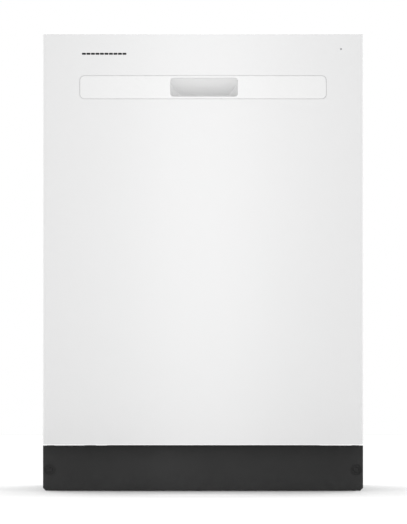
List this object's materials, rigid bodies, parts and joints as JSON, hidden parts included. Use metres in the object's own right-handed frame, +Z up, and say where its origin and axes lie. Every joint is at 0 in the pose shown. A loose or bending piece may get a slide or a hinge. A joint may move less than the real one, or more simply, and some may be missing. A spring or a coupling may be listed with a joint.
{
  "type": "built-in dishwasher",
  "caption": "Front-opening built-in dishwasher with a drop-down door, pocket handle, two sliding wire racks, spray arms, sump, pumps and levelling legs.",
  "frame": {"origin": "on the floor at the centre of the overall width and depth, door closed and racks in", "axes": "+Z up, -Y towards the front (the way the closed door faces), +X to the right seen from the front"},
  "size_m": [0.606, 0.622, 0.866],
  "materials": {
    "button_white": "light grey plastic",
    "black_plastic": "black glass-filled plastic and steel can",
    "strip_white": "white plastic",
    "galvanised": "galvanised sheet",
    "dispenser_grey": "grey plastic",
    "fibre_pad": "grey fibre pad",
    "tub_plastic": "light grey moulded polypropylene, satin",
    "door_white": "gloss white enamel",
    "spring_steel": "dark spring steel",
    "grey_plastic": "mid grey polypropylene",
    "stainless": "perforated stainless steel",
    "arm_plastic": "grey polypropylene",
    "rack_vinyl": "grey nylon coated steel wire",
    "insert_white": "white plastic",
    "heater_steel": "heat-tinted steel tube",
    "bright_steel": "bright steel",
    "white_plastic": "white nylon",
    "blanket": "black bitumen and felt sound blanket",
    "kick_black": "black textured paint",
    "hose_rubber": "black rubber",
    "cap_blue_grey": "blue grey plastic",
    "basket_plastic": "grey polypropylene",
    "strap_nylon": "black nylon cord",
    "light_pipe": "frosted clear plastic",
    "seal_rubber": "dark grey rubber"
  },
  "bodies": {
    "chassis": {"circulation_pump": "black_plastic", "counter_brackets": "galvanised", "crossmembers": "galvanised", "door_springs": "spring_steel", "drain_pump": "black_plastic", "feed_tube": "grey_plastic", "filter_plate": "stainless", "heater_element": "heater_steel", "hinge_pins": "bright_steel", "inlet_valve": "white_plastic", "insulation_wrap": "blanket", "junction_box": "galvanised", "kick_plate": "kick_black", "latch_strike": "bright_steel", "pump_hoses": "hose_rubber", "rail_carriers": "arm_plastic", "side_frames": "galvanised", "spring_straps": "strap_nylon", "sump": "grey_plastic", "tub": "tub_plastic", "tub_seals": "seal_rubber"},
    "door": {"door_panel": "door_white", "door_liner": "tub_plastic", "door_insulation": "fibre_pad", "handle_insert": "insert_white", "control_strip": "strip_white", "control_module": "black_plastic", "status_light": "light_pipe", "vent_duct": "black_plastic", "dispenser": "dispenser_grey", "latch_body": "black_plastic", "hinge_arms": "galvanised"},
    "upper_rails": {"upper_rails": "stainless"},
    "upper_rack": {"upper_rack": "rack_vinyl", "upper_rack_glides": "arm_plastic", "upper_arm_feed": "arm_plastic"},
    "lower_rack": {"lower_rack": "rack_vinyl"},
    "folding_tines": {"folding_tines": "rack_vinyl"},
    "silverware_basket": {"silverware_basket": "basket_plastic"},
    "lower_spray_arm": {"lower_spray_arm": "arm_plastic"},
    "upper_spray_arm": {"upper_spray_arm": "arm_plastic"},
    "pump_impeller": {"pump_impeller": "white_plastic"},
    "filter_cylinder": {"filter_cylinder": "grey_plastic"},
    "float_dome": {"float_dome": "arm_plastic"},
    "vent_flap": {"vent_flap": "black_plastic"},
    "dispenser_lid": {"dispenser_lid": "dispenser_grey"},
    "rinse_aid_cap": {"rinse_aid_cap": "cap_blue_grey"},
    "latch_hook": {"latch_hook": "bright_steel"},
    "button_cycle": {"button_cycle": "button_white"},
    "button_heated_dry": {"button_heated_dry": "button_white"},
    "button_power": {"button_power": "button_white"},
    "button_start": {"button_start": "button_white"},
    "leg_front_left": {"leg_front_left": "bright_steel"},
    "leg_front_right": {"leg_front_right": "bright_steel"},
    "leg_rear_left": {"leg_rear_left": "bright_steel"},
    "leg_rear_right": {"leg_rear_right": "bright_steel"},
    "wheel_front_left": {"wheel_front_left": "arm_plastic"},
    "wheel_front_right": {"wheel_front_right": "arm_plastic"},
    "wheel_rear_left": {"wheel_rear_left": "arm_plastic"},
    "wheel_rear_right": {"wheel_rear_right": "arm_plastic"}
  },
  "joints": [
    {"name": "door_hinge", "type": "hinge", "parent": "chassis", "child": "door", "pos_m": [0, -0.286, 0.118], "axis": [1, 0, 0], "range_deg": [0, 90], "stiffness_Nm_per_rad": 18, "deforming": ["door_springs", "spring_straps"]},
    {"name": "upper_rail_slide", "type": "slide", "parent": "chassis", "child": "upper_rails", "axis": [0, -1, 0], "range_m": [0, 0.236]},
    {"name": "upper_rack_slide", "type": "slide", "parent": "upper_rails", "child": "upper_rack", "axis": [0, -1, 0], "range_m": [0, 0.236]},
    {"name": "lower_rack_slide", "type": "slide", "parent": "chassis", "child": "lower_rack", "axis": [0, -1, 0], "range_m": [0, 0.111]},
    {"name": "folding_tines_hinge", "type": "hinge", "parent": "lower_rack", "child": "folding_tines", "pos_m": [0, 0.15, 0.1783], "axis": [1, 0, 0], "range_deg": [0, 80]},
    {"name": "silverware_basket_lift", "type": "slide", "parent": "lower_rack", "child": "silverware_basket", "axis": [0, 0, 1], "range_m": [0, 0.06]},
    {"name": "lower_spray_arm_spin", "type": "hinge", "parent": "chassis", "child": "lower_spray_arm", "pos_m": [0, 0.015, 0.154], "axis": [0, 0, 1], "continuous": true},
    {"name": "upper_spray_arm_spin", "type": "hinge", "parent": "upper_rack", "child": "upper_spray_arm", "pos_m": [0, 0.005, 0.4645], "axis": [0, 0, 1], "continuous": true},
    {"name": "pump_impeller_spin", "type": "hinge", "parent": "chassis", "child": "pump_impeller", "pos_m": [0.133, 0.015, 0.076], "axis": [1, 0, 0], "continuous": true},
    {"name": "filter_twist", "type": "hinge", "parent": "chassis", "child": "filter_cylinder", "pos_m": [0.044, -0.019, 0.09], "axis": [0, 0, 1], "range_deg": [0, 90]},
    {"name": "float_lift", "type": "slide", "parent": "chassis", "child": "float_dome", "axis": [0, 0, 1], "range_m": [0, 0.01]},
    {"name": "vent_flap_hinge", "type": "hinge", "parent": "door", "child": "vent_flap", "pos_m": [-0.187, -0.2796, 0.7975], "axis": [-1, 0, 0], "range_deg": [0, 70]},
    {"name": "dispenser_lid_slide", "type": "slide", "parent": "door", "child": "dispenser_lid", "axis": [0, 0, -1], "range_m": [0, 0.06]},
    {"name": "rinse_aid_cap_turn", "type": "hinge", "parent": "door", "child": "rinse_aid_cap", "pos_m": [0.062, -0.27, 0.515], "axis": [0, 1, 0], "range_deg": [0, 90]},
    {"name": "latch_hook_swing", "type": "hinge", "parent": "door", "child": "latch_hook", "pos_m": [0, -0.268, 0.83], "axis": [-1, 0, 0], "range_deg": [0, 25], "stiffness_Nm_per_rad": 0.05},
    {"name": "leg_front_left_turn", "type": "hinge", "parent": "chassis", "child": "leg_front_left", "pos_m": [-0.262, -0.228, 0.03], "axis": [0, 0, 1], "continuous": true},
    {"name": "leg_rear_left_turn", "type": "hinge", "parent": "chassis", "child": "leg_rear_left", "pos_m": [-0.262, 0.29, 0.03], "axis": [0, 0, 1], "continuous": true},
    {"name": "wheel_front_left_spin", "type": "hinge", "parent": "lower_rack", "child": "wheel_front_left", "pos_m": [-0.264, -0.18, 0.1653], "axis": [1, 0, 0], "continuous": true},
    {"name": "wheel_rear_left_spin", "type": "hinge", "parent": "lower_rack", "child": "wheel_rear_left", "pos_m": [-0.264, 0.19, 0.1653], "axis": [1, 0, 0], "continuous": true},
    {"name": "leg_front_right_turn", "type": "hinge", "parent": "chassis", "child": "leg_front_right", "pos_m": [0.262, -0.228, 0.03], "axis": [0, 0, 1], "continuous": true},
    {"name": "leg_rear_right_turn", "type": "hinge", "parent": "chassis", "child": "leg_rear_right", "pos_m": [0.262, 0.29, 0.03], "axis": [0, 0, 1], "continuous": true},
    {"name": "wheel_front_right_spin", "type": "hinge", "parent": "lower_rack", "child": "wheel_front_right", "pos_m": [0.264, -0.18, 0.1653], "axis": [1, 0, 0], "continuous": true},
    {"name": "wheel_rear_right_spin", "type": "hinge", "parent": "lower_rack", "child": "wheel_rear_right", "pos_m": [0.264, 0.19, 0.1653], "axis": [1, 0, 0], "continuous": true},
    {"name": "button_power_press", "type": "slide", "parent": "door", "child": "button_power", "axis": [0, 0, -1], "range_m": [0, 0.0015], "stiffness_N_per_m": 600},
    {"name": "button_cycle_press", "type": "slide", "parent": "door", "child": "button_cycle", "axis": [0, 0, -1], "range_m": [0, 0.0015], "stiffness_N_per_m": 600},
    {"name": "button_heated_dry_press", "type": "slide", "parent": "door", "child": "button_heated_dry", "axis": [0, 0, -1], "range_m": [0, 0.0015], "stiffness_N_per_m": 600},
    {"name": "button_start_press", "type": "slide", "parent": "door", "child": "button_start", "axis": [0, 0, -1], "range_m": [0, 0.0015], "stiffness_N_per_m": 600}
  ],
  "couplings": [
    {"joint": "upper_rail_slide", "follows": "door_hinge", "m_per_rad": 0.15},
    {"joint": "upper_rack_slide", "follows": "door_hinge", "m_per_rad": 0.15},
    {"joint": "lower_rack_slide", "follows": "door_hinge", "m_per_rad": 0.07}
  ]
}
